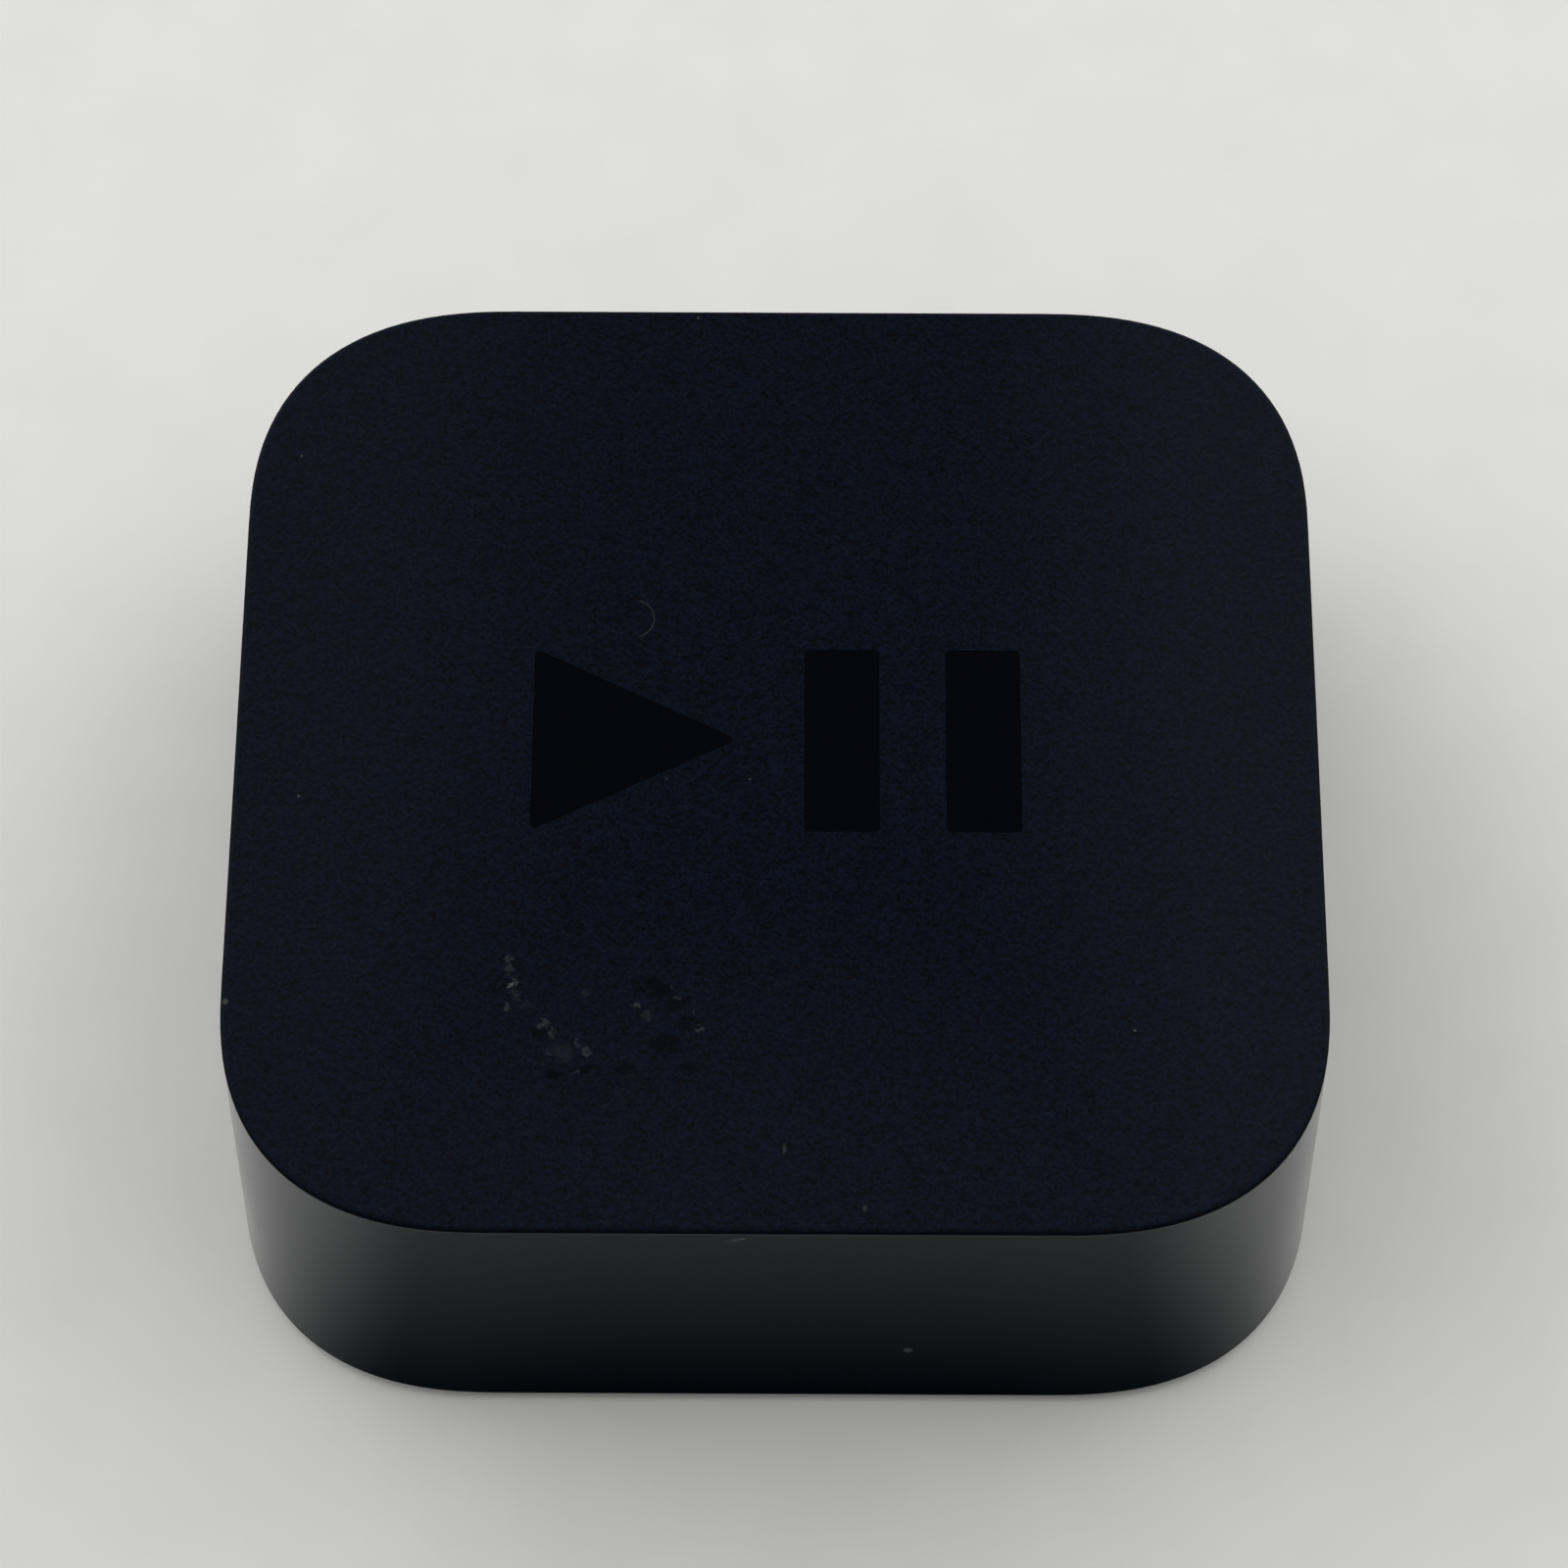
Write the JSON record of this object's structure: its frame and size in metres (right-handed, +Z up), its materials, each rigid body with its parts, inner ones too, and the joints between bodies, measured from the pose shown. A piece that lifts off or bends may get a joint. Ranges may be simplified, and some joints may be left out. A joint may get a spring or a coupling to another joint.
{
  "type": "streaming media player",
  "caption": "Flat squarish set-top media player with rounded corners, rear sockets for mains, video, service and network, and its boards inside.",
  "frame": {"origin": "middle of the face the player stands on", "axes": "+Z up, front (status light) towards -Y, rear sockets towards +Y, +X to the right seen from the front"},
  "size_m": [0.098, 0.098, 0.033],
  "materials": {
    "casing_plastic": "fine matte texture on top, satin on the side walls, polished mark",
    "base_plastic": "satin black",
    "light_pipe_acrylic": "clear acrylic, unlit",
    "cast_aluminium": "as cast, lightly blasted",
    "zinc_steel": "zinc plated",
    "green_laminate": "solder mask",
    "tan_laminate": "bare paper laminate",
    "chip_epoxy": "moulded epoxy",
    "thermal_pad": "soft silicone",
    "tinned_steel": "tin plated sheet",
    "coil_ferrite": "sintered ferrite",
    "gold_plate": "gold plated",
    "antenna_film": "plastic carrier with copper foil",
    "cable_jacket": "thin jacket",
    "socket_plastic": "moulded nylon",
    "receiver_epoxy": "infrared-passing dark resin",
    "led_resin": "unlit lens",
    "ribbon_polyimide": "amber film",
    "connector_nylon": "natural nylon",
    "brass_posts": "turned",
    "insulator_film": "pressed film",
    "nickel_pins": "nickel plated",
    "fuse_ceramic": "ceramic tube with end caps",
    "capacitor_yellow": "box capacitor",
    "capacitor_sleeve": "shrunk sleeve",
    "winding_tape": "polyester tape",
    "enamelled_copper": "enamelled copper wire"
  },
  "bodies": {
    "base": {"base_cover": "base_plastic"},
    "player": {"top_casing": "casing_plastic", "status_light_pipe": "light_pipe_acrylic", "heat_sink": "cast_aluminium", "heat_sink_screws": "zinc_steel", "main_board": "green_laminate", "processor": "chip_epoxy", "processor_thermal_pad": "thermal_pad", "flash_memory": "chip_epoxy", "flash_thermal_pad": "thermal_pad", "shield_fence": "tinned_steel", "control_chips": "chip_epoxy", "power_coils": "coil_ferrite", "network_transformer": "chip_epoxy", "wireless_module": "tinned_steel", "antenna_plugs": "gold_plate", "antenna_left": "antenna_film", "antenna_right": "antenna_film", "antenna_cable_left": "cable_jacket", "antenna_cable_right": "cable_jacket", "video_socket_shell": "tinned_steel", "video_socket_tongue": "socket_plastic", "video_socket_contacts": "gold_plate", "service_socket_shell": "tinned_steel", "service_socket_tongue": "socket_plastic", "service_socket_contacts": "gold_plate", "network_jack": "socket_plastic", "network_jack_shield": "tinned_steel", "network_jack_contacts": "gold_plate", "front_board": "green_laminate", "remote_receiver": "receiver_epoxy", "status_led": "led_resin", "front_ribbon": "ribbon_polyimide", "ribbon_connector": "connector_nylon", "power_posts": "brass_posts", "power_post_screws": "zinc_steel", "insulator_tray": "insulator_film", "power_board": "tan_laminate", "power_board_screws": "zinc_steel", "power_inlet": "socket_plastic", "power_inlet_pins": "nickel_pins", "fuse": "fuse_ceramic", "filter_capacitor": "capacitor_yellow", "filter_choke": "coil_ferrite", "bridge_rectifier": "chip_epoxy", "bulk_capacitors": "capacitor_sleeve", "transformer_core": "coil_ferrite", "transformer_winding": "winding_tape", "switch_transistor": "chip_epoxy", "transistor_heat_sink": "cast_aluminium", "output_rectifier": "chip_epoxy", "output_capacitors": "capacitor_sleeve", "output_choke": "enamelled_copper"}
  },
  "joints": [
    {"name": "base_cover_release", "type": "slide", "parent": "base", "child": "player", "axis": [0, 0, 1], "range_m": [0, 0.04]}
  ]
}
